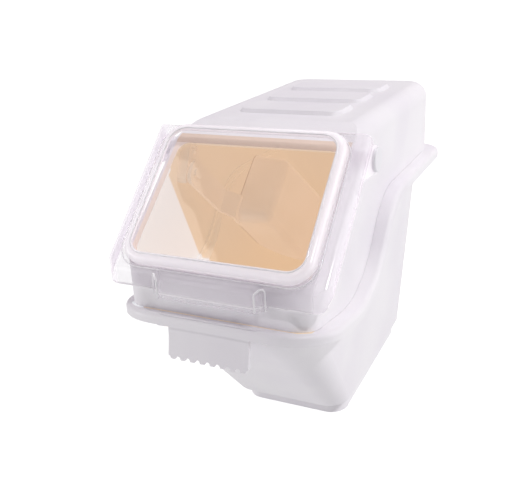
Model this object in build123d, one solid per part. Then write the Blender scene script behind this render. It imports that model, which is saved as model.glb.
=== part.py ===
from build123d import *
import math
import os

# Shelf bin for dry pet food: a tapered tub with a stepped rim, a hood that lifts off,
# a clear flip-up door on two pivot pins, and a scoop that hangs on a peg inside.
# Millimetres. X is the width, the front faces -Y and Z is up from the shelf.
# The origin is at the middle of the footprint of the whole bin.

# ---- overall ----
overall_length = 503.0
rim_width = 238.8
wall = 3.0
body_gap = 0.3
rim_front_height = 216.5
rim_back_height = 282.0
hood_rise = 93.2
hood_height = rim_back_height + hood_rise
front = -overall_length / 2
rear = overall_length / 2

# ---- for cutting and sorting only ----
beyond = 60.0
cut_margin = 1.0
same_place = 0.01
facing_up = 0.3

# ---- tub ----
plinth_side_inset = 52.4
plinth_back_inset = 47.0
plinth_width = rim_width - 2 * plinth_side_inset
plinth_front = front + 203.0
plinth_back = rear - plinth_back_inset
plinth_height = 12.0
plinth_corner = 22.0
step_height = 24.0
base_side_inset = 44.1
base_back_inset = 44.0
base_width = rim_width - 2 * base_side_inset
base_front = front + 181.0
base_back = rear - base_back_inset
base_corner = 28.0
top_above_rim = 35.0
top_height = rim_back_height + top_above_rim
top_side_inset = 19.3
top_back_inset = 15.8
top_width = rim_width - 2 * top_side_inset
front_lean = 0.913311
top_front = base_front - front_lean * (top_height - step_height)
top_back = rear - top_back_inset
top_corner = 58.0
slant_factor = 1.36

# ---- rim: low at the front, rising in an S to a high flat back ----
rim_front = front + 4.4
rim_dip_drop = 29.9
rim_dip = (front + 165.4, rim_front_height - rim_dip_drop)
rim_crest = 2.1
rim_rise = (front + 248.6, rim_back_height + rim_crest)
rim_dip_radius = 110.0
rim_rise_radius = 90.0
rim_front_corner = 55.0
rim_back_corner = 38.0
rim_lip = 11.5
rim_sheet = 3.2
rim_edge_radius = 5.0
seat_height = 6.0
seat_sheet = 2.2
fit_gap = 0.5

# ---- finger pull under the front of the rim ----
pull_width = 88.4
pull_thickness = 4.0
pull_drop = 45.5
pull_bottom = rim_front_height - pull_drop
pull_lean = 6.0
pull_bow = 1.5
pull_teeth = 8
tooth_depth = 3.0
gusset_offset = 57.0
gusset_thickness = 3.0
gusset_height = 28.0
gusset_drop = 12.0

# ---- hood ----
hood_side_inset = 16.9
hood_back_inset = 15.5
hood_width = rim_width - 2 * hood_side_inset
hood_front_inset = 13.2
hood_front = rim_front + hood_front_inset
hood_back = rear - hood_back_inset
brow_drop = 15.7
brow_bottom = (front + 143.0, hood_height - brow_drop)
brow_top = front + 187.0
slope_lift = 39.0
slope_bottom_height = rim_front_height + slope_lift
slope_run = brow_bottom[0] - hood_front
slope_rise = brow_bottom[1] - slope_bottom_height
slope_length = math.hypot(slope_run, slope_rise)
slope_angle = math.degrees(math.atan2(slope_rise, slope_run))
hood_front_corner = 24.0
hood_back_corner = 32.0
hood_top_radius = 19.0
brow_radius = 14.0
opening_margin = 9.0
opening_width = hood_width - 2 * opening_margin
opening_start = 15.0
opening_end_margin = 5.915
opening_end = slope_length - opening_end_margin
opening_corner = 13.0
pad_margin = 38.5
pad_width = hood_width - 2 * pad_margin
pad_length = 60.0
pad_pitch = 77.0
pad_first = front + 214.0
pad_count = 3
pad_rise = 4.0
pad_corner = 16.0
pad_slope = 45.0

# ---- door ----
door_overhang = 1.6
door_width = rim_width + 2 * door_overhang
door_sheet = 2.5
door_tilt = 3.13
door_slope = slope_angle + door_tilt
door_stand_off = 4.7
door_front = hood_front - door_stand_off
door_lift = 21.5
door_bottom = rim_front_height + door_lift
door_bend_lift = 1.3
door_bend_height = slope_bottom_height + door_bend_lift
door_bend_radius = 12.0
door_top_margin = 10.085
door_face_length = slope_length + door_top_margin
door_side_depth = 16.0
door_tip_radius = 5.0
door_edge_radius = 8.0
door_corner_radius = 18.0
ear_reach = 44.0
ear_overlap = 1.0
pane_margin = 20.4
pane_width = door_width - 2 * pane_margin
pane_start = 9.4
pane_end_margin = 2.6
pane_length = door_face_length - pane_start - pane_end_margin
pane_rise = 7.7
pane_corner = 22.0
pane_draft = 20.0
pane_edge_radius = 6.0
grip_width = 125.0
grip_front_width = 104.0
grip_lift = 25.0
grip_top = door_bottom + grip_lift
grip_bevel = 10.0
grip_front_top = grip_top - grip_bevel
grip_overhang = 5.0
grip_bottom = door_bottom - grip_overhang
grip_depth = 8.0
grip_corner = 9.0
grip_edge_radius = 4.0

# ---- pivot ----
pivot_setback = 12.6
pivot_drop = 29.9
pivot = (brow_bottom[0] + pivot_setback, hood_height - pivot_drop)
pivot_shaft_radius = 5.0
pivot_running_gap = 0.06
pivot_boss_radius = 11.5
pivot_head_radius = 12.5
pivot_head_thickness = 3.5
pivot_ear_radius = 14.5
pivot_core_radius = 2.8
pivot_tip_radius = 4.0
pivot_barb_radius = 6.2
pivot_barb_length = 2.4
pivot_slot_width = 2.0
pivot_slot_depth = 11.0

# ---- scoop hanger ----
hanger_thickness = 12.0
peg_setback = 11.1
peg_drop = 25.5
peg = (pivot[0] - peg_setback, pivot[1] - peg_drop)
peg_radius = 6.5
peg_flat = 5.0
peg_length = 10.0
hanger_eye_radius = 9.0
hanger_reach = 23.4
hanger_front = pivot[0] - hanger_reach
hanger_heel = 10.4
hanger_back = pivot[0] + hanger_heel
hanger_drop = 34.3
hanger_bottom = pivot[1] - hanger_drop
hanger_edge = 6.0
hanger_toe = (hanger_front, hanger_bottom + hanger_edge)

# ---- scoop ----
scoop_dip = 41.0
handle_start = 12.0
handle_width = 28.0
handle_root_width = 32.0
handle_thickness = 4.5
handle_length = 104.0
handle_step = 16.0
handle_corner = 10.2
peg_gap = 0.4
bowl_length = 154.0
bowl_low = -15.0
bowl_high = 81.0
bowl_lean = 14.0
bowl_flare = 14.0
bowl_depth = 46.0
bowl_draft = 4.0
bowl_corner = 15.0
bowl_rim = 11.0
bowl_shoulder = 66.0
bowl_floor_radius = 10.0
bowl_sheet = 2.4
mouth_bend_along = 0.72
mouth_bend_down = 0.42


# ---- helpers ----
def outline_face(points, radius):
    """Flat face inside a closed outline of 3-D points, with rounded corners."""
    outline = FilletPolyline(points, radius=radius, close=True)
    return Face(Wire(outline.edges()))


def across(side_points, radius, half_width):
    """Solid with this YZ outline, reaching half_width each way along X."""
    face = outline_face([(0, y, z) for y, z in side_points], radius)
    return extrude(face, amount=half_width, dir=(1, 0, 0), both=True)


def plan_face(width, y_front, y_back, front_corner, back_corner, height):
    """Rounded rectangle seen from above, centred on X = 0."""
    half = width / 2
    points = [
        (-half, y_front, height),
        (half, y_front, height),
        (half, y_back, height),
        (-half, y_back, height),
    ]
    return outline_face(points, [front_corner, front_corner, back_corner, back_corner])


def shifted(points, distance):
    """Open path moved sideways by distance, to the left of its direction."""
    lines = []
    for (y0, z0), (y1, z1) in zip(points, points[1:]):
        length = math.hypot(y1 - y0, z1 - z0)
        across_y = -(z1 - z0) / length * distance
        across_z = (y1 - y0) / length * distance
        lines.append(((y0 + across_y, z0 + across_z), (y1 + across_y, z1 + across_z)))
    moved = [lines[0][0]]
    for (a, b), (c, d) in zip(lines, lines[1:]):
        turn = (b[0] - a[0]) * (d[1] - c[1]) - (b[1] - a[1]) * (d[0] - c[0])
        share = ((c[0] - a[0]) * (d[1] - c[1]) - (c[1] - a[1]) * (d[0] - c[0])) / turn
        moved.append((a[0] + share * (b[0] - a[0]), a[1] + share * (b[1] - a[1])))
    moved.append(lines[-1][1])
    return moved


# ---- rim line ----
rim_path = [
    (front - beyond, rim_front_height + beyond * (rim_front_height - rim_dip[1]) / (rim_dip[0] - front)),
    rim_dip,
    rim_rise,
    (rear + beyond, rim_back_height),
]


def rim_band(low, high):
    """Solid between two copies of the rim line, shifted down by low and up by high."""
    lower = shifted(rim_path, -low)
    upper = shifted(rim_path, high)
    points = lower + upper[::-1]
    low_radii = [0, rim_dip_radius + low, rim_rise_radius - low, 0]
    high_radii = [0, rim_rise_radius + high, rim_dip_radius - high, 0]
    return across(points, low_radii + high_radii, rim_width)


def under_rim(shift):
    """Everything below the rim line, shifted up by this much."""
    upper = shifted(rim_path, shift)
    points = upper + [(rear + beyond, -beyond), (front - beyond, -beyond)]
    radii = [0, rim_dip_radius - shift, rim_rise_radius + shift, 0, 0, 0]
    return across(points, radii, rim_width)


# ---- tub ----
def tub_form(inset):
    """Tapered body of the tub, made smaller all round by inset."""
    ends = inset * slant_factor
    plinth = [plinth_width - 2 * inset, plinth_front + ends, plinth_back - inset]
    base = [base_width - 2 * inset, base_front + ends, base_back - inset]
    top = [top_width - 2 * inset, top_front + ends, top_back - inset]
    foot = plan_face(*plinth, plinth_corner - inset, plinth_corner - inset, inset)
    foot_top = plan_face(*plinth, plinth_corner - inset, plinth_corner - inset, plinth_height)
    base_face = plan_face(*base, base_corner - inset, base_corner - inset, step_height)
    top_face = plan_face(*top, top_corner - inset, top_corner - inset, top_height)
    plinth_part = extrude(foot, amount=plinth_height - inset, dir=(0, 0, 1))
    step_part = loft([foot_top, base_face], ruled=True)
    body_part = loft([base_face, top_face], ruled=True)
    return plinth_part + step_part + body_part


def rim_form(inset):
    """Upright prism with the outline of the rim, made smaller all round by inset."""
    face = plan_face(
        rim_width - 2 * inset,
        rim_front + inset,
        rear - inset,
        rim_front_corner - inset,
        rim_back_corner - inset,
        0,
    )
    return extrude(face, amount=hood_height, dir=(0, 0, 1))


def seat_form(inset):
    """Upright prism that fits inside the hood, made smaller all round by inset."""
    gap = wall + fit_gap + inset
    face = plan_face(
        hood_width - 2 * gap,
        hood_front + gap,
        hood_back - gap,
        hood_front_corner - gap,
        hood_back_corner - gap,
        0,
    )
    return extrude(face, amount=hood_height, dir=(0, 0, 1))


def front_wall_y(height):
    """Y of the tub's slanted front wall at this height."""
    share = (height - step_height) / (top_height - step_height)
    return base_front + share * (top_front - base_front)


def make_pull():
    """Bowed plate under the rim with a toothed lower edge."""
    top = rim_front_height - rim_sheet
    middle = (top + pull_bottom) / 2
    middle_y = front + pull_lean / 2 + pull_bow
    front_edge = ThreePointArc((0, front + pull_lean, top), (0, middle_y, middle), (0, front, pull_bottom))
    back_edge = Pos(0, pull_thickness, 0) * front_edge
    ends = [Line(front_edge @ 0, back_edge @ 0), Line(front_edge @ 1, back_edge @ 1)]
    section = Face(Wire([front_edge, back_edge, *ends]))
    plate = extrude(section, amount=pull_width / 2, dir=(1, 0, 0), both=True)
    pitch = pull_width / pull_teeth
    for index in range(pull_teeth + 1):
        x = -pull_width / 2 + index * pitch
        notch = Pos(x, front, pull_bottom) * Rot(90, 0, 0) * Cylinder(tooth_depth, 4 * pull_thickness)
        plate -= notch
    return plate


def make_gusset(x):
    """Rib between the underside of the rim and the slanted front wall."""
    nose = rim_front + rim_sheet
    top = rim_front_height - rim_sheet
    low = top - gusset_height
    root = wall / 2
    points = [
        (nose, top),
        (front_wall_y(top) + root, top),
        (front_wall_y(low) + root, low),
        (nose, top - gusset_drop),
    ]
    return Pos(x, 0, 0) * across(points, 0, gusset_thickness / 2)


def make_tub():
    rim = rim_form(0) & rim_band(rim_lip, 0)
    top_faces = [f for f in rim.faces() if f.normal_at().Z > facing_up]
    rim_edges = [e for f in top_faces for e in f.outer_wire().edges()]
    shared = [e for e in rim_edges if sum(e.is_same(other) for other in rim_edges) == 1]
    rim = fillet(shared, rim_edge_radius)
    rim -= rim_form(rim_sheet) & rim_band(rim_lip + beyond, -rim_sheet)
    tub = (tub_form(0) & under_rim(0)) + rim
    tub += (seat_form(0) - seat_form(seat_sheet)) & rim_band(rim_sheet, seat_height)
    tub += make_pull()
    for side in (-1, 1):
        tub += make_gusset(side * gusset_offset)
    cavity = tub_form(wall)
    return tub - (cavity & under_rim(-rim_sheet)) - (cavity & seat_form(seat_sheet))


# ---- hood ----
slope_plane = Plane(
    origin=(0, hood_front, slope_bottom_height),
    x_dir=(1, 0, 0),
    z_dir=(0, -math.sin(math.radians(slope_angle)), math.cos(math.radians(slope_angle))),
)


def hood_form(inset):
    """Outer form of the hood, made smaller all round by inset."""
    path = [
        (hood_front, 0),
        (hood_front, slope_bottom_height),
        brow_bottom,
        (brow_top, hood_height),
        (hood_back + beyond, hood_height),
        (hood_back + beyond, 0),
    ]
    points = shifted(path, -inset)
    bend = brow_radius - inset
    side = across(points, [0, bend, bend, bend, 0, 0], hood_width)
    plan = plan_face(
        hood_width - 2 * inset,
        hood_front + inset,
        hood_back - inset,
        hood_front_corner - inset,
        hood_back_corner - inset,
        0,
    )
    block = extrude(plan, amount=hood_height - inset, dir=(0, 0, 1))
    top_edges = block.faces().sort_by(Axis.Z)[-1].edges()
    block = fillet(top_edges, hood_top_radius - inset)
    return block & side


def make_pad(index):
    """Low raised pad with sloping edges on top of the hood."""
    start = pad_first + index * pad_pitch
    base = plan_face(pad_width, start, start + pad_length, pad_corner, pad_corner, hood_height)
    return extrude(base, amount=pad_rise, dir=(0, 0, 1), taper=pad_slope)


def make_hood():
    hood = hood_form(0)
    for index in range(pad_count):
        hood += make_pad(index)
    for side in (-1, 1):
        boss_end = door_width / 2 - door_sheet - body_gap
        boss_start = hood_width / 2 - wall
        boss = Cylinder(pivot_boss_radius, boss_end - boss_start)
        hood += Pos(side * (boss_end + boss_start) / 2, *pivot) * Rot(0, 90, 0) * boss
    hood -= hood_form(wall)
    opening = RectangleRounded(opening_width, opening_end - opening_start, opening_corner)
    opening = Pos(0, (opening_start + opening_end) / 2, 0) * opening
    hood -= extrude(slope_plane * opening, amount=3 * wall, both=True)
    hood -= Pos(0, *pivot) * Rot(0, 90, 0) * Cylinder(pivot_shaft_radius, door_width)
    return hood - under_rim(body_gap)


# ---- door ----
door_angle = math.radians(door_slope)
door_bend = (door_front, door_bend_height)
door_along = (math.cos(door_angle), math.sin(door_angle))
door_inward = (math.sin(door_angle), -math.cos(door_angle))
door_plane = Plane(
    origin=(0, *door_bend),
    x_dir=(1, 0, 0),
    z_dir=(0, -door_inward[0], -door_inward[1]),
)


def door_point(along, inward):
    """Point beside the door: this far up its slanted face from the bend, and this far behind that face."""
    return (
        door_bend[0] + along * door_along[0] + inward * door_inward[0],
        door_bend[1] + along * door_along[1] + inward * door_inward[1],
    )


def edges_along_front(solid):
    """Side edges that run up the slanted front face of a door form."""
    widest = max(abs(edge.center().X) for edge in solid.edges())
    found = []
    for edge in solid.edges():
        on_side = abs(edge.center().X) > widest - same_place
        rising = edge.length > door_face_length / 2
        if on_side and rising:
            found.append(edge)
    return sorted(found, key=lambda edge: edge.center().Y - edge.center().Z)[:2]


def door_form(inset):
    """Outer form of the door, or with an inset the space behind its sheet."""
    path = [(door_front, door_bottom - beyond), door_bend, door_point(door_face_length + beyond, 0)]
    points = shifted(path, -inset)
    points.append(door_point(door_face_length + beyond, 3 * beyond))
    points.append((door_front + 3 * beyond, door_bottom - beyond))
    half = door_width / 2 - inset
    solid = across(points, [0, door_bend_radius - inset, 0, 0, 0], half)
    solid = fillet(edges_along_front(solid), door_edge_radius - inset)
    corner = door_corner_radius - inset
    plan = plan_face(2 * half, door_front + inset, rear, corner, corner, 0)
    return solid & extrude(plan, amount=hood_height + beyond, dir=(0, 0, 1))


def door_trim():
    """Solid that keeps the door down to its lower edge and back to its side edges."""
    tail = door_point(0, door_side_depth)
    reach = (door_bottom - tail[1]) / door_along[1]
    points = [
        (door_front - beyond, door_bottom),
        door_point(0, -beyond),
        door_point(door_face_length, -beyond),
        door_point(door_face_length, door_side_depth),
        door_point(reach, door_side_depth),
    ]
    return across(points, [0, 0, 0, door_tip_radius, door_tip_radius], door_width)


def pane_form(inset, base, height):
    """Raised pane of the door with drafted sides, made smaller all round by inset."""
    spread = (height - base) * math.tan(math.radians(pane_draft))
    corner = pane_corner - inset
    width = pane_width - 2 * inset
    length = pane_length - 2 * inset
    low = RectangleRounded(width + 2 * spread, length + 2 * spread, corner + spread)
    high = RectangleRounded(width, length, corner)
    middle = pane_start + pane_length / 2
    low_face = (door_plane * Pos(0, middle, base) * low).faces()[0]
    high_face = (door_plane * Pos(0, middle, height) * high).faces()[0]
    solid = loft([low_face, high_face], ruled=True)
    top = solid.faces().sort_by(Axis((0, 0, 0), door_plane.z_dir))[-1]
    return fillet(top.edges(), pane_edge_radius - inset)


def grip_form(inset):
    """Bulge at the foot of the door, hollow behind and open below for the fingertips."""
    back_half = grip_width / 2 - inset
    front_half = grip_front_width / 2 - inset
    back_y = door_front + 2 * door_sheet
    front_y = door_front - grip_depth + inset
    low = grip_bottom - inset
    high = grip_top - inset
    front_high = grip_front_top - inset
    back = [
        (-back_half, back_y, low),
        (back_half, back_y, low),
        (back_half, back_y, high),
        (-back_half, back_y, high),
    ]
    nose = [
        (-front_half, front_y, low),
        (front_half, front_y, low),
        (front_half, front_y, front_high),
        (-front_half, front_y, front_high),
    ]
    corners = [0, 0, grip_corner - inset, grip_corner - inset]
    solid = loft([outline_face(back, corners), outline_face(nose, corners)], ruled=True)
    nose_edges = solid.faces().sort_by(Axis.Y)[0].edges()
    rounded = nose_edges.sort_by(Axis.Z)[1:]
    return fillet(rounded, grip_edge_radius - inset)


def make_ear(side):
    """Lobe that carries the pivot behind each side of the door."""
    circle = Pos(*pivot) * Circle(pivot_ear_radius)
    low = door_point(door_face_length - ear_reach, door_side_depth - ear_overlap)
    high = door_point(door_face_length - door_tip_radius, door_side_depth - ear_overlap)
    lobe = Plane.YZ * make_hull([circle.edge(), Line(low, high).edge()])
    start = door_width / 2 - door_sheet if side > 0 else -door_width / 2
    return Pos(start, 0, 0) * extrude(lobe, amount=door_sheet, dir=(1, 0, 0))


def make_door():
    shell = door_form(0) & door_trim()
    shell += pane_form(0, 0, pane_rise)
    shell += grip_form(0)
    shell -= door_form(door_sheet)
    shell -= pane_form(door_sheet, -2 * door_sheet, pane_rise - door_sheet)
    shell -= grip_form(door_sheet)
    for side in (-1, 1):
        shell += make_ear(side)
    bore = Cylinder(pivot_shaft_radius + pivot_running_gap, 2 * door_width)
    return shell - Pos(0, *pivot) * Rot(0, 90, 0) * bore


# ---- pivot pins ----
def make_pin(reach):
    """Snap-in pin along +Z with a split barbed tip. Z = 0 is the outer face of the ear."""
    head = Cylinder(pivot_head_radius, pivot_head_thickness)
    head = Pos(0, 0, body_gap + pivot_head_thickness / 2) * head
    head = fillet(head.edges().sort_by(Axis.Z)[-1], pivot_head_thickness / 2)
    pin = head + Pos(0, 0, body_gap - reach / 2) * Cylinder(pivot_shaft_radius, reach)
    tip = Cone(pivot_tip_radius, pivot_barb_radius, pivot_barb_length)
    pin += Pos(0, 0, body_gap - reach - pivot_barb_length / 2) * tip
    core_depth = reach + pivot_barb_length - pivot_head_thickness
    core = Cylinder(pivot_core_radius, core_depth)
    pin -= Pos(0, 0, body_gap - reach - pivot_barb_length + core_depth / 2) * core
    slot_depth = pivot_slot_depth + pivot_barb_length
    slot = Box(pivot_slot_width, 3 * pivot_barb_radius, slot_depth)
    return pin - Pos(0, 0, body_gap - reach - pivot_barb_length + slot_depth / 2) * slot


ear_face = door_width / 2
hood_inside = hood_width / 2 - wall
right_reach = ear_face + 2 * body_gap - hood_inside
left_reach = right_reach + hanger_thickness


def make_right_pin():
    return Pos(ear_face, *pivot) * Rot(0, 90, 0) * make_pin(right_reach)


def make_left_pin():
    return Pos(-ear_face, *pivot) * Rot(0, -90, 0) * make_pin(left_reach)


# ---- scoop hanger ----
hanger_outer = -hood_inside
hanger_inner = hanger_outer + hanger_thickness


def keyed_bar(radius, flat, length):
    """Round bar along +Z with a flat on two sides."""
    return Cylinder(radius, length) & Box(2 * radius, 2 * flat, length)


def make_hanger():
    eye = Pos(*pivot) * Circle(hanger_eye_radius)
    heel = Line((hanger_front, hanger_bottom), (hanger_back, hanger_bottom))
    toe = Line((hanger_front, hanger_bottom), hanger_toe)
    back = Line((hanger_back, hanger_bottom), (hanger_back, hanger_toe[1]))
    outline = Plane.YZ * make_hull([eye.edge(), heel.edge(), toe.edge(), back.edge()])
    block = Pos(hanger_outer, 0, 0) * extrude(outline, amount=hanger_thickness, dir=(1, 0, 0))
    block -= Pos(hanger_outer, *pivot) * Rot(0, 90, 0) * Cylinder(pivot_shaft_radius, 3 * hanger_thickness)
    bar = scoop_plane * Pos(0, 0, hanger_inner - scoop_plane.origin.X + peg_length / 2) * keyed_bar(
        peg_radius, peg_flat, peg_length
    )
    return block + bar


# ---- scoop ----
dip = math.radians(scoop_dip)
scoop_plane = Plane(
    origin=(hanger_inner + peg_length / 2, *peg),
    x_dir=(0, math.cos(dip), -math.sin(dip)),
    z_dir=(1, 0, 0),
)


def make_handle():
    """Flat handle that steps across to the plane of the bowl's rim."""
    end = handle_length - handle_start
    last = end + bowl_corner
    half = handle_thickness / 2
    bend = end - handle_step
    under = [(-handle_start, -half), (bend, -half), (end, bowl_rim), (last, bowl_rim)]
    level = bowl_rim + handle_thickness
    over = [(last, level), (end - half, level), (bend - half, half), (-handle_start, half)]
    strip = outline_face([(u, 0, w) for u, w in under + over], 0)
    strip = extrude(strip, amount=handle_root_width, dir=(0, 1, 0), both=True)
    tip = handle_width / 2
    root = handle_root_width / 2
    right_side = [(-handle_start, -tip), (bend, -tip), (last, -root)]
    left_side = [(last, root), (bend, tip), (-handle_start, tip)]
    corners = [handle_corner, 0, 0, 0, 0, handle_corner]
    plan_shape = outline_face([(u, v, 0) for u, v in right_side + left_side], corners)
    handle = strip & extrude(plan_shape, amount=2 * bowl_depth, dir=(0, 0, 1), both=True)
    keyhole = keyed_bar(peg_radius + peg_gap, peg_flat + peg_gap, 4 * handle_thickness)
    return handle - keyhole


def bowl_outline(inset, stop, height):
    """Outline of the bowl at this height: leaning back wall and flared upper side."""
    start = handle_length - handle_start
    rise = bowl_flare * (stop - start) / bowl_length
    corners = [
        (stop, bowl_low),
        (stop, bowl_high + rise),
        (start + bowl_lean, bowl_high),
        (start, bowl_low),
    ]
    shape = make_face(Polyline(*corners, close=True))
    shape = fillet(shape.vertices(), bowl_corner)
    return (Pos(0, 0, height) * offset(shape, amount=-inset)).faces()[0]


def bowl_form(inset):
    """Bowl of the scoop, longer than it ends up, made smaller all round by inset."""
    stop = handle_length - handle_start + bowl_length + 2 * bowl_corner
    rim = bowl_outline(inset, stop, bowl_rim)
    floor = bowl_outline(inset + bowl_draft, stop, bowl_rim + bowl_depth - inset)
    solid = loft([rim, floor], ruled=True)
    top = solid.faces().sort_by(Axis.Z)[-1]
    return fillet(top.edges(), bowl_floor_radius - inset)


def make_scoop():
    start = handle_length - handle_start
    stop = start + bowl_length
    high = bowl_rim - cut_margin
    low = bowl_rim + bowl_depth + cut_margin
    shoulder = start + bowl_shoulder
    bend_along = shoulder + mouth_bend_along * (bowl_length - bowl_shoulder)
    sweep_start = (shoulder, 0, high)
    sweep_middle = (bend_along, 0, bowl_rim + mouth_bend_down * bowl_depth)
    sides = [
        ThreePointArc(sweep_start, sweep_middle, (stop, 0, low)),
        Line((stop, 0, low), (stop + beyond, 0, low)),
        Line((stop + beyond, 0, low), (stop + beyond, 0, high)),
        Line((stop + beyond, 0, high), sweep_start),
    ]
    mouth = extrude(Face(Wire(sides)), amount=2 * bowl_high, dir=(0, 1, 0), both=True)
    inside = bowl_form(bowl_sheet)
    return scoop_plane * ((bowl_form(0) - inside - mouth) + (make_handle() - inside))


# ---- files ----
os.makedirs("parts", exist_ok=True)
pieces = {
    "storage_tub": make_tub(),
    "hood": make_hood(),
    "clear_door": make_door(),
    "left_pivot_pin": make_left_pin(),
    "right_pivot_pin": make_right_pin(),
    "scoop_hanger": make_hanger(),
    "scoop": make_scoop(),
}
for name, piece in pieces.items():
    export_step(piece, "parts/" + name + ".step")
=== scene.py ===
import math
import bpy
from mathutils import Matrix, Vector


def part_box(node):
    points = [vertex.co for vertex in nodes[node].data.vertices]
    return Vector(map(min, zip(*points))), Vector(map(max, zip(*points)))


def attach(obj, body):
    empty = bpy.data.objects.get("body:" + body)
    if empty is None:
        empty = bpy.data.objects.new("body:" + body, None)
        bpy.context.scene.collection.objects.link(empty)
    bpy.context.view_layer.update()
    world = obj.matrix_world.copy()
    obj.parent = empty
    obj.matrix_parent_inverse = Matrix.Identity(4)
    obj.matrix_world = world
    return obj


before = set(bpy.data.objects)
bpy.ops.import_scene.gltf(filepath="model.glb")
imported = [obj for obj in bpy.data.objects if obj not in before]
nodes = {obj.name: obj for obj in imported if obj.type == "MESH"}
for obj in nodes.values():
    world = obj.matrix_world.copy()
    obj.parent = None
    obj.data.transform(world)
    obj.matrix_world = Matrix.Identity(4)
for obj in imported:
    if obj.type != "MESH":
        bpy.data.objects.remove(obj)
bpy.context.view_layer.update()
scene = bpy.context.scene
print("frame loaded:", ", ".join(sorted(nodes)))


# links a value into an input, or sets it there if it is plain
def plug(tree, socket, value):
    if isinstance(value, Signal):
        value = value.socket
    if isinstance(value, bpy.types.NodeSocket):
        tree.links.new(value, socket)
    else:
        socket.default_value = value


# adds a node to a tree: first its settings, then its inputs
def makeNode(tree, kind, settings, values):
    node = tree.nodes.new(kind)
    for name, value in settings.items():
        setattr(node, name, value)
    for name, value in values.items():
        plug(tree, node.inputs[name], value)
    return node.outputs


# a socket that can be used in sums; each sum adds its Math node
class Signal:
    def __init__(self, book, socket):
        self.book = book
        self.socket = socket

    def __add__(self, other):
        return self.book.math("ADD", self, other)

    def __radd__(self, other):
        return self.book.math("ADD", other, self)

    def __sub__(self, other):
        return self.book.math("SUBTRACT", self, other)

    def __rsub__(self, other):
        return self.book.math("SUBTRACT", other, self)

    def __mul__(self, other):
        return self.book.math("MULTIPLY", self, other)

    def __rmul__(self, other):
        return self.book.math("MULTIPLY", other, self)

    def __truediv__(self, other):
        return self.book.math("DIVIDE", self, other)

    def __rtruediv__(self, other):
        return self.book.math("DIVIDE", other, self)

    def __gt__(self, other):
        return self.book.math("GREATER_THAN", self, other)

    def __lt__(self, other):
        return self.book.math("LESS_THAN", self, other)

    def __abs__(self):
        return self.book.math("ABSOLUTE", self)

    def least(self, other):
        return self.book.math("MINIMUM", self, other)

    def most(self, other):
        return self.book.math("MAXIMUM", self, other)

    def root(self):
        return self.book.math("SQRT", self)

    def rise(self, low, high):  # 0 below low, 1 above high, smooth between
        ends = {"Value": self, "From Min": low, "From Max": high}
        return self.book.add("ShaderNodeMapRange", {"interpolation_type": "SMOOTHSTEP"}, ends)


# one material and the nodes in it
class Finish:
    def __init__(self, name):
        self.material = bpy.data.materials.new(name)
        self.material.use_nodes = True
        self.tree = self.material.node_tree
        self.shader = next(n for n in self.tree.nodes if n.type == "BSDF_PRINCIPLED")
        place = makeNode(self.tree, "ShaderNodeTexCoord", {}, {})
        self.place = Signal(self, place["Object"])
        self.normal = Signal(self, place["Normal"])
        self.x, self.y, self.z = self.axes(self.place)

    def add(self, kind, settings, values, output=0):
        return Signal(self, makeNode(self.tree, kind, settings, values)[output])

    def math(self, operation, *terms):
        return self.add("ShaderNodeMath", {"operation": operation}, dict(enumerate(terms)))

    def axes(self, vector):
        return [Signal(self, axis) for axis in makeNode(self.tree, "ShaderNodeSeparateXYZ", {}, {0: vector})]

    def offset(self, first, second):
        return self.add("ShaderNodeVectorMath", {"operation": "SUBTRACT"}, {0: first, 1: second})

    def dot(self, first, second):
        return self.add("ShaderNodeVectorMath", {"operation": "DOT_PRODUCT"}, {0: first, 1: second}, "Value")

    def noise(self, scale, detail=2.0, rough=0.5):
        grain = {"Vector": self.place, "Scale": scale, "Detail": detail, "Roughness": rough}
        return self.add("ShaderNodeTexNoise", {}, grain)

    def blend(self, factor, first, second):
        return self.add("ShaderNodeMix", {"data_type": "RGBA"}, {0: factor, 6: first, 7: second}, 2)

    def bump(self, height, distance):
        return self.add("ShaderNodeBump", {}, {"Height": height, "Distance": distance})

    def facing(self, blend):
        return self.add("ShaderNodeLayerWeight", {}, {"Blend": blend}, "Facing")

    def set(self, **values):
        for name, value in values.items():
            plug(self.tree, self.shader.inputs[name.replace("_", " ")], value)


def tone(red, green, blue):  # screen colour, 0 to 255, to the linear colour that nodes use
    def linear(v):
        v = v / 255
        return v / 12.92 if v <= 0.04045 else ((v + 0.055) / 1.055) ** 2.4
    return (linear(red), linear(green), linear(blue), 1.0)


def giveFinish(nodeName, finish):
    mesh = nodes[nodeName].data
    mesh.materials.clear()
    mesh.materials.append(finish.material)


dark = (0.0, 0.0, 0.0, 1.0)

# the hood's slanted face and the door's, each from its foot: along goes up it, outward leaves the bin
hoodFace = {
    "origin": (0.0, -0.2339, 0.2555), "along": (0.0, 0.7697, 0.6384), "outward": (0.0, -0.6384, 0.7697)}
doorFace = {
    "origin": (0.0, -0.2386, 0.2568), "along": (0.0, 0.7337, 0.6794), "outward": (0.0, -0.6794, 0.7337)}


def measured(f, face):
    here = f.offset(f.place, face["origin"])
    return [f.dot(here, face[way]) for way in ("along", "outward")]


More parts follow.
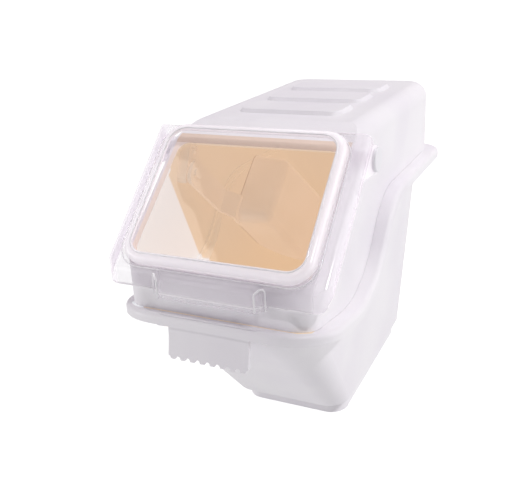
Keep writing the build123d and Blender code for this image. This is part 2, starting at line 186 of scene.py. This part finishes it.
# white polyethylene of the tub and hood; the tan inside is painted light, warm light through the walls
# painted by place into the base colour and a faint glow
shellPlastic = {
    # the inner colours and glows below are painted warm light, standing for light through the walls
    "white": tone(244, 241, 245), "cloud": tone(239, 235, 241), "innerWhiteWarmLit": tone(206, 192, 178),
    "glow": tone(149, 133, 112), "glowLow": tone(151, 131, 104), "glowHeights": (0.14, 0.26),
    "inside": (0.0, 0.0, 0.2), "halfWidth": 0.1004, "frontEnd": -0.2345, "backEnd": 0.237,
    "levelEnough": 0.3,  # how level a face is before it counts as looking up or down
    "ledgeHalf": (0.0996, 0.2335), "ledgeCorner": 0.021, "ledgeDepth": -0.006, "ledgeTop": 0.3,
    "lipDepth": -0.02, "lipTop": 0.34,
    # the frame's warm tint, its glow and the brow strip are painted light from the window falling on the hood
    # round it
    "frame": tone(238, 226, 219), "frameGlow": tone(92, 80, 70),
    "frameDepth": (-0.0062, 0.0005), "frameHalf": 0.0992, "frameSpan": (0.0146, 0.1715),
    "browWarmLight": tone(210, 188, 172), "browSpan": (0.1565, 0.1573),
    # a painted pool of pale daylight on the left inner wall
    "daylit": tone(168, 184, 198), "daylitShare": 0.85, "daylitSide": -0.08, "daylitFront": 0.079,
    "daylitFoot": 0.199, "daylitHeight": 0.107, "daylitLean": 0.048, "daylitSoft": 0.002,
    "cloudScale": 9.0, "cloudSpan": (0.35, 0.7), "peelScale": 420.0, "flowScale": 38.0,
    "roughness": 0.34, "cloudRough": 0.08, "peelRough": 0.04, "flowRough": 0.05,
    "orangePeel": 0.00012, "flowMarks": 0.00025}


# the inner faces: those turned to the inside, less the lip's underside, with the ledge under the hood
def innerMask(f, settings, outward):
    upward = f.axes(f.normal)[2]
    level = settings["levelEnough"]
    turned = f.dot(f.normal, f.offset(f.place, settings["inside"]))
    endToEnd = (f.y > settings["frontEnd"]) * (f.y < settings["backEnd"])
    within = (abs(f.x) < settings["halfWidth"]) * endToEnd
    corner = settings["ledgeCorner"]
    sideways = (abs(f.x) - (settings["ledgeHalf"][0] - corner)).most(0.0)
    endways = (abs(f.y) - (settings["ledgeHalf"][1] - corner)).most(0.0)
    rounded = (sideways * sideways + endways * endways).root() < corner
    ledge = (upward > level) * rounded * (outward < settings["ledgeDepth"]) * (f.z < settings["ledgeTop"])
    underLip = (upward < -level) * (outward < settings["lipDepth"]) * (f.z < settings["lipTop"])
    return ((turned < 0.0) * within * (1 - underLip)).most(ledge)


# painted light: a pale pool of daylight painted on the side wall beside the window, in a patch whose edge
# leans forward as it goes up
def daylitMask(f, settings):
    climb = ((f.z - settings["daylitFoot"]) / settings["daylitHeight"]).most(0.0)
    behind = f.y + settings["daylitFront"] + climb * settings["daylitLean"]
    soft = settings["daylitSoft"]
    return (f.x < settings["daylitSide"]) * (1 - behind.rise(-soft, soft))


def shellFinish(name, settings):
    f = Finish(name)
    along, outward = measured(f, hoodFace)
    inner = innerMask(f, settings, outward)
    depth, span = settings["frameDepth"], settings["frameSpan"]
    # painted light: warm light through the pane painted on the frame round the window
    onFrame = (outward > depth[0]) * (outward < depth[1]) * (abs(f.x) < settings["frameHalf"])
    frameMask = onFrame * (along > span[0]) * (along < span[1]) * (1 - inner)
    cloud = f.noise(settings["cloudScale"], 3.0)
    white = f.blend(cloud.rise(*settings["cloudSpan"]), settings["white"], settings["cloud"])
    frameWarmLit = f.blend(along.rise(*settings["browSpan"]), settings["frame"], settings["browWarmLight"])
    # painted light: the inner faces glow warm, more yellow low down
    glow = f.blend(f.z.rise(*settings["glowHeights"]), settings["glowLow"], settings["glow"])
    # painted light: the glow turns pale within the daylit patch
    glow = f.blend(daylitMask(f, settings) * settings["daylitShare"], glow, settings["daylit"])
    peel = f.noise(settings["peelScale"], 2.0)
    flow = f.noise(settings["flowScale"], 4.0, 0.6)  # faint swirls left by moulding
    rough = cloud * settings["cloudRough"] + peel * settings["peelRough"] + flow * settings["flowRough"]
    f.set(
        Base_Color=f.blend(inner, f.blend(frameMask, white, frameWarmLit), settings["innerWhiteWarmLit"]),
        Emission_Color=f.blend(inner, f.blend(frameMask, dark, settings["frameGlow"]), glow),
        Emission_Strength=1.0,
        Roughness=settings["roughness"] + rough,
        Normal=f.bump(peel * settings["orangePeel"] + flow * settings["flowMarks"], 1.0),
        IOR=1.5,
        Coat_Weight=0.1,
        Coat_Roughness=0.25)
    return f


shell = shellFinish("milkyPlastic", shellPlastic)
for name in ("storage_tub", "hood"):
    giveFinish(name, shell)

# smaller milky parts, white outside the hood and painted tan with a glow within it, painted light for warm
# light through the walls; a darker line of painted shade marks the bowl's thick edge
innerParts = {
    # base and pale are painted tan, warm light within the hood; glow is painted light too
    "base": tone(208, 190, 172), "pale": tone(214, 198, 184), "outside": tone(238, 236, 241),
    "glow": tone(143, 130, 114), "halfWidth": 0.0996,
    # lip: painted shade, a darker line along the bowl's thick edge
    "lip": tone(176, 152, 130), "lipShadeGlow": tone(104, 88, 70),
    "lipPlace": -0.0715, "lipSpan": (0.0006, 0.0010), "lipFrom": -0.028,
    "cloudScale": 14.0, "cloudSpan": (0.35, 0.7), "peelScale": 500.0,
    "roughness": 0.28, "cloudRough": 0.1, "peelRough": 0.04, "cloudBump": 2.0, "bumpDepth": 0.0001}


def tintedFinish(name, settings):
    f = Finish(name)
    within = abs(f.x) < settings["halfWidth"]
    fromLip = abs(f.x - settings["lipPlace"])
    # painted shade: a thin darker line along the bowl's thick edge
    lip = (1 - fromLip.rise(*settings["lipSpan"])) * (f.y > settings["lipFrom"])
    cloud = f.noise(settings["cloudScale"], 3.0)
    peel = f.noise(settings["peelScale"])
    plain = f.blend(cloud.rise(*settings["cloudSpan"]), settings["base"], settings["pale"])
    colour = f.blend(lip, plain, settings["lip"])
    glow = f.blend(lip, settings["glow"], settings["lipShadeGlow"])
    f.set(
        Base_Color=f.blend(within, settings["outside"], colour),
        Emission_Color=f.blend(within, dark, glow),
        Emission_Strength=1.0,
        Roughness=settings["roughness"] + cloud * settings["cloudRough"] + peel * settings["peelRough"],
        Normal=f.bump(peel + cloud * settings["cloudBump"], settings["bumpDepth"]),
        IOR=1.5)
    return f


for name in ("scoop", "scoop_hanger", "left_pivot_pin", "right_pivot_pin"):
    giveFinish(name, tintedFinish(name + "Plastic", innerParts))

# clear door
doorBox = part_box("clear_door")
clearPlastic = {
    # white and glow: painted highlights and painted light on the door's band, edges and grip ends
    "tint": tone(246, 241, 248), "haze": tone(236, 229, 238), "white": tone(255, 251, 255),
    "glow": (0.13, 0.12, 0.13, 1.0), "roughness": 0.12, "hazeScale": 30.0, "hazeSpan": (0.3, 0.8),
    "hazeRough": 0.05, "hazeBump": 0.0002,
    "paneMiddle": 0.0899, "paneHalf": (0.0935, 0.0730), "paneCorner": 0.016, "paneSoft": (-0.0004, 0.0006),
    "paneAlpha": 0.05, "faceAlpha": 0.24,
    "bandSpan": (0.0105, 0.0125), "bandDepth": -0.001, "bandAlpha": 0.80,
    "edgeBlend": 0.35, "edgeAlpha": 0.55, "sideSpan": (0.1040, 0.1080), "sideAlpha": 0.36,
    "skirtSpan": (0.0128, 0.0148), "skirtSide": 0.1178, "footEdge": (0.2379, 0.2389),
    "endSpan": (0.0535, 0.0600), "endDepth": 0.0075, "endTop": 0.264, "endHalf": 0.0635, "endShare": 0.8}


def clearFinish(name, settings):
    f = Finish(name)
    along, outward = measured(f, doorFace)
    corner = settings["paneCorner"]
    sideways = abs(f.x) - (settings["paneHalf"][0] - corner)
    upDown = abs(along - settings["paneMiddle"]) - (settings["paneHalf"][1] - corner)
    beyond = (sideways.most(0.0) * sideways.most(0.0) + upDown.most(0.0) * upDown.most(0.0)).root()
    fromPane = beyond + sideways.most(upDown).least(0.0) - corner
    onFace = fromPane.rise(*settings["paneSoft"])
    # painted highlights: a white band round the pane, lines at the skirt's rear edge and the door's foot, and
    # the grip's ends
    band = onFace * (1 - fromPane.rise(*settings["bandSpan"])) * (outward > settings["bandDepth"])
    skirtEdge = (0.0 - outward).rise(*settings["skirtSpan"]) * (abs(f.x) > settings["skirtSide"])
    footEdge = (f.z > settings["footEdge"][0]) * (f.z < settings["footEdge"][1])
    side = abs(f.x).rise(*settings["sideSpan"])
    nearFront = f.y < doorBox[0][1] + settings["endDepth"]
    endWidth = abs(f.x).rise(*settings["endSpan"]) * (abs(f.x) < settings["endHalf"])
    gripEnd = endWidth * nearFront * (f.z < settings["endTop"])
    paintedHighlight = band.most(skirtEdge).most(footEdge).most(gripEnd * settings["endShare"])
    edge = f.facing(settings["edgeBlend"])
    haze = f.noise(settings["hazeScale"], 3.0)
    tinted = f.blend(haze.rise(*settings["hazeSpan"]), settings["tint"], settings["haze"])
    flat = settings["paneAlpha"] + onFace * (settings["faceAlpha"] - settings["paneAlpha"])
    alpha = flat + edge * edge * settings["edgeAlpha"] * (1 - side)
    alpha = alpha.most(side * settings["sideAlpha"]).most(paintedHighlight * settings["bandAlpha"]).least(1.0)
    f.set(
        Base_Color=f.blend(paintedHighlight, tinted, settings["white"]),
        Roughness=settings["roughness"] + haze * settings["hazeRough"],
        Alpha=alpha,
        # painted light: the band and side flanges glow
        Emission_Color=f.blend(band.most(side), dark, settings["glow"]),
        Emission_Strength=1.0,
        Normal=f.bump(haze, settings["hazeBump"]),
        IOR=1.52,
        Coat_Weight=0.15,
        Coat_Roughness=0.06)
    return f


giveFinish("clear_door", clearFinish("clearPlastic", clearPlastic))


# beads moulded on the door, each a rounded strip swept along a path with rounded corners; the ridges are
# moulded shape, their near-opaque white is painted highlight
def beadTree():
    tree = bpy.data.node_groups.new("moulded bead", "GeometryNodeTree")
    tree.interface.new_socket("Geometry", in_out="OUTPUT", socket_type="NodeSocketGeometry")
    tree.interface.new_socket("Path", in_out="INPUT", socket_type="NodeSocketGeometry")
    for name, value in (("Corner Radius", 0.01), ("Bead Width", 0.002), ("Bead Height", 0.001)):
        tree.interface.new_socket(name, in_out="INPUT", socket_type="NodeSocketFloat").default_value = value
    tree.interface.new_socket("Finish", in_out="INPUT", socket_type="NodeSocketMaterial")
    given = makeNode(tree, "NodeGroupInput", {}, {})
    rounded = makeNode(tree, "GeometryNodeFilletCurve", {"mode": "POLY"}, {
        "Curve": given["Path"], "Count": 8, "Radius": given["Corner Radius"], "Limit Radius": True})
    ring = makeNode(tree, "GeometryNodeCurvePrimitiveCircle", {}, {"Resolution": 14, "Radius": 0.5})
    size = makeNode(tree, "ShaderNodeCombineXYZ", {}, {
        "X": given["Bead Height"], "Y": given["Bead Width"], "Z": 1.0})
    section = makeNode(tree, "GeometryNodeTransform", {}, {"Geometry": ring["Curve"], "Scale": size[0]})
    swept = makeNode(tree, "GeometryNodeCurveToMesh", {}, {
        "Curve": rounded[0], "Profile Curve": section[0], "Fill Caps": True})
    smooth = makeNode(tree, "GeometryNodeSetShadeSmooth", {}, {"Geometry": swept[0]})
    whole = makeNode(tree, "GeometryNodeRealizeInstances", {}, {"Geometry": smooth[0]})
    coloured = makeNode(tree, "GeometryNodeSetMaterial", {}, {
        "Geometry": whole[0], "Material": given["Finish"]})
    makeNode(tree, "NodeGroupOutput", {}, {"Geometry": coloured[0]})
    return tree


beads = beadTree()


def doorSpot(x, along, outward):
    foot = Vector(doorFace["origin"]) + Vector((x, 0, 0))
    return foot + along * Vector(doorFace["along"]) + outward * Vector(doorFace["outward"])


def sweepBead(name, points, closed, finish, size):
    curve = bpy.data.curves.new(name + " path", "CURVE")
    curve.dimensions = "3D"
    line = curve.splines.new("POLY")
    line.points.add(len(points) - 1)
    for spot, point in zip(points, line.points):
        point.co = (*spot, 1.0)
    line.use_cyclic_u = closed
    path = bpy.data.objects.new(name + " path", curve)
    scene.collection.objects.link(path)
    sweep = path.modifiers.new("bead", "NODES")
    sweep.node_group = beads
    values = {
        "Corner Radius": size["corner"], "Bead Width": size["width"], "Bead Height": size["height"],
        "Finish": finish.material}
    for item in beads.interface.items_tree:
        if item.in_out == "INPUT" and item.name in values:
            sweep[item.identifier] = values[item.name]
    reading = bpy.context.evaluated_depsgraph_get()
    mesh = bpy.data.meshes.new_from_object(path.evaluated_get(reading), depsgraph=reading)
    bpy.data.objects.remove(path)
    mesh.name = name
    piece = bpy.data.objects.new(name, mesh)
    scene.collection.objects.link(piece)
    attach(piece, "door")


# the beads' near-opaque white is painted highlight along them
beadHighlightPlastic = {
    "white": tone(252, 250, 253), "grey": tone(232, 229, 236), "cloudScale": 24.0, "cloudSpan": (0.35, 0.75),
    "roughness": 0.12, "cloudRough": 0.08, "cloudBump": 0.0004,
    "alpha": 0.90, "edgeBlend": 0.4, "edgeAlpha": 0.3}


def beadFinish(name, settings):
    f = Finish(name)
    cloud = f.noise(settings["cloudScale"], 3.0)
    edge = f.facing(settings["edgeBlend"])
    f.set(
        Base_Color=f.blend(cloud.rise(*settings["cloudSpan"]), settings["white"], settings["grey"]),
        Roughness=settings["roughness"] + cloud * settings["cloudRough"],
        Alpha=(settings["alpha"] + edge * settings["edgeAlpha"]).least(1.0),
        Normal=f.bump(cloud, settings["cloudBump"]),
        IOR=1.58,
        Coat_Weight=0.5,
        Coat_Roughness=0.05)
    return f


beadLook = beadFinish("beadHighlightPlastic", beadHighlightPlastic)
frameBeads = {
    "pane_bead": {
        "halfWidth": 0.0950, "low": 0.0150, "high": 0.1648, "lift": 0.0077,
        "corner": 0.018, "width": 0.0022, "height": 0.0014},
    "pane_foot_bead": {
        "halfWidth": 0.1070, "low": 0.0030, "high": 0.1700, "lift": 0.0002,
        "corner": 0.026, "width": 0.0018, "height": 0.0010}}
for beadName, size in frameBeads.items():
    halfWidth, low, high = size["halfWidth"], size["low"], size["high"]
    corners = ((-halfWidth, low), (halfWidth, low), (halfWidth, high), (-halfWidth, high))
    outline = [doorSpot(x, along, size["lift"]) for x, along in corners]
    sweepBead(beadName, outline, True, beadLook, size)

# the grip beads are ridges at the grip's ends, painted white as bright highlight loops
gripBead = {
    "backX": 0.0606, "noseX": 0.0524, "back": -0.2398, "nose": -0.2468,
    "top": 0.2604, "noseTop": 0.2528, "low": 0.2345,
    "corner": 0.004, "width": 0.0022, "height": 0.0014}
for beadName, side in (("grip_bead_left", -1), ("grip_bead_right", 1)):
    backX, noseX = side * gripBead["backX"], side * gripBead["noseX"]
    outline = [
        Vector((backX, gripBead["back"], gripBead["low"])),
        Vector((backX, gripBead["back"], gripBead["top"])),
        Vector((noseX, gripBead["nose"], gripBead["noseTop"])),
        Vector((noseX, gripBead["nose"], gripBead["low"]))]
    sweepBead(beadName, outline, False, beadLook, gripBead)
print("door beads swept")
print("finishes on")

# studio: pale floor and sky, with less sky on one side
studio = {
    "floor": tone(255, 255, 255), "floorBase": (0.2, 0.2, 0.2, 1), "floorHalf": 60.0,
    "floorGlow": 0.6, "floorSeen": 0.98,
    "sky": tone(243, 236, 241), "skyStrength": 0.50, "backdropStrength": 1.25,
    "darkSide": (0.60, -0.78, 0.12), "darkSpan": (0.05, 0.80), "darkShare": 0.0}
sun = {"power": 1.1, "spread": 1.5, "heading": (-0.60, 0.27, -0.79)}
softBoxes = {
    "rightBox": {"power": 9, "size": (1.2, 1.4), "spot": (1.5, 0.5, 0.7), "target": (0, 0, 0.15)},
    "topBox": {"power": 9.5, "size": (1.4, 1.4), "spot": (0.0, 0.5, 1.8), "target": (0, 0, 0.2)},
    "leftBox": {"power": 10, "size": (1.4, 0.9), "spot": (-1.4, -1.15, 0.28), "target": (0, 0, 0.2)}}


def makeFloor():
    mesh = bpy.data.meshes.new("floor")
    r = studio["floorHalf"]
    mesh.from_pydata([(-r, -r, 0), (r, -r, 0), (r, r, 0), (-r, r, 0)], [], [(0, 1, 2, 3)])
    floor = bpy.data.objects.new("floor", mesh)
    scene.collection.objects.link(floor)
    f = Finish("floorPaper")
    seen = f.add("ShaderNodeLightPath", {}, {}, "Is Camera Ray")
    f.set(
        Base_Color=studio["floorBase"],
        Roughness=1.0,
        Emission_Color=studio["floor"],
        Emission_Strength=studio["floorGlow"] + seen * (studio["floorSeen"] - studio["floorGlow"]))
    mesh.materials.append(f.material)


def makeSky():
    world = bpy.data.worlds.new("sky")
    world.use_nodes = True
    tree = world.node_tree
    back = tree.nodes["Background"]
    plug(tree, back.inputs["Color"], studio["sky"])
    where = makeNode(tree, "ShaderNodeTexCoord", {}, {})["Generated"]
    facing = makeNode(tree, "ShaderNodeVectorMath", {"operation": "DOT_PRODUCT"}, {
        0: where, 1: studio["darkSide"]})["Value"]
    level = makeNode(tree, "ShaderNodeMapRange", {"interpolation_type": "SMOOTHSTEP"}, {
        "Value": facing, "From Min": studio["darkSpan"][0], "From Max": studio["darkSpan"][1],
        "To Min": studio["skyStrength"], "To Max": studio["skyStrength"] * studio["darkShare"]})[0]
    seen = makeNode(tree, "ShaderNodeLightPath", {}, {})["Is Camera Ray"]
    strength = makeNode(tree, "ShaderNodeMapRange", {}, {
        "Value": seen, "To Min": level, "To Max": studio["backdropStrength"]})[0]
    plug(tree, back.inputs["Strength"], strength)
    scene.world = world


def placeLamp(name, data, spot, target):
    lamp = bpy.data.objects.new(name, data)
    lamp.location = spot
    lamp.rotation_euler = (Vector(target) - Vector(spot)).to_track_quat("-Z", "Y").to_euler()
    lamp.visible_camera = False
    scene.collection.objects.link(lamp)


def makeLights():
    sunLight = bpy.data.lights.new("sun", "SUN")
    sunLight.energy = sun["power"]
    sunLight.angle = math.radians(sun["spread"])
    placeLamp("sun", sunLight, (0, 0, 0), sun["heading"])
    for name, box in softBoxes.items():
        light = bpy.data.lights.new(name, "AREA")
        light.energy = box["power"]
        light.shape = "RECTANGLE"
        light.size, light.size_y = box["size"]
        placeLamp(name, light, box["spot"], box["target"])


# camera: degrees turned from the front, tipped down and rolled; lens in mm
view = {"turn": 25.867, "tip": 20.936, "roll": -2.883, "lens": 48.9552, "spot": (0.3186, -0.7713, 0.5279)}


def makeCamera():
    turn, tip, roll = (math.radians(view[angle]) for angle in ("turn", "tip", "roll"))
    ahead = Vector((-math.sin(turn) * math.cos(tip), math.cos(turn) * math.cos(tip), -math.sin(tip)))
    level = Vector((math.cos(turn), math.sin(turn), 0))
    upright = level.cross(ahead)
    right = level * math.cos(roll) + upright * math.sin(roll)
    up = upright * math.cos(roll) - level * math.sin(roll)
    data = bpy.data.cameras.new("camera")
    data.lens = view["lens"]
    data.clip_start = 0.01
    camera = bpy.data.objects.new("camera", data)
    camera.matrix_world = Matrix.Translation(view["spot"]) @ Matrix((right, up, -ahead)).transposed().to_4x4()
    scene.collection.objects.link(camera)
    scene.camera = camera


makeFloor()
makeSky()
makeLights()
makeCamera()
scene.view_settings.view_transform = "Standard"
print("studio set")
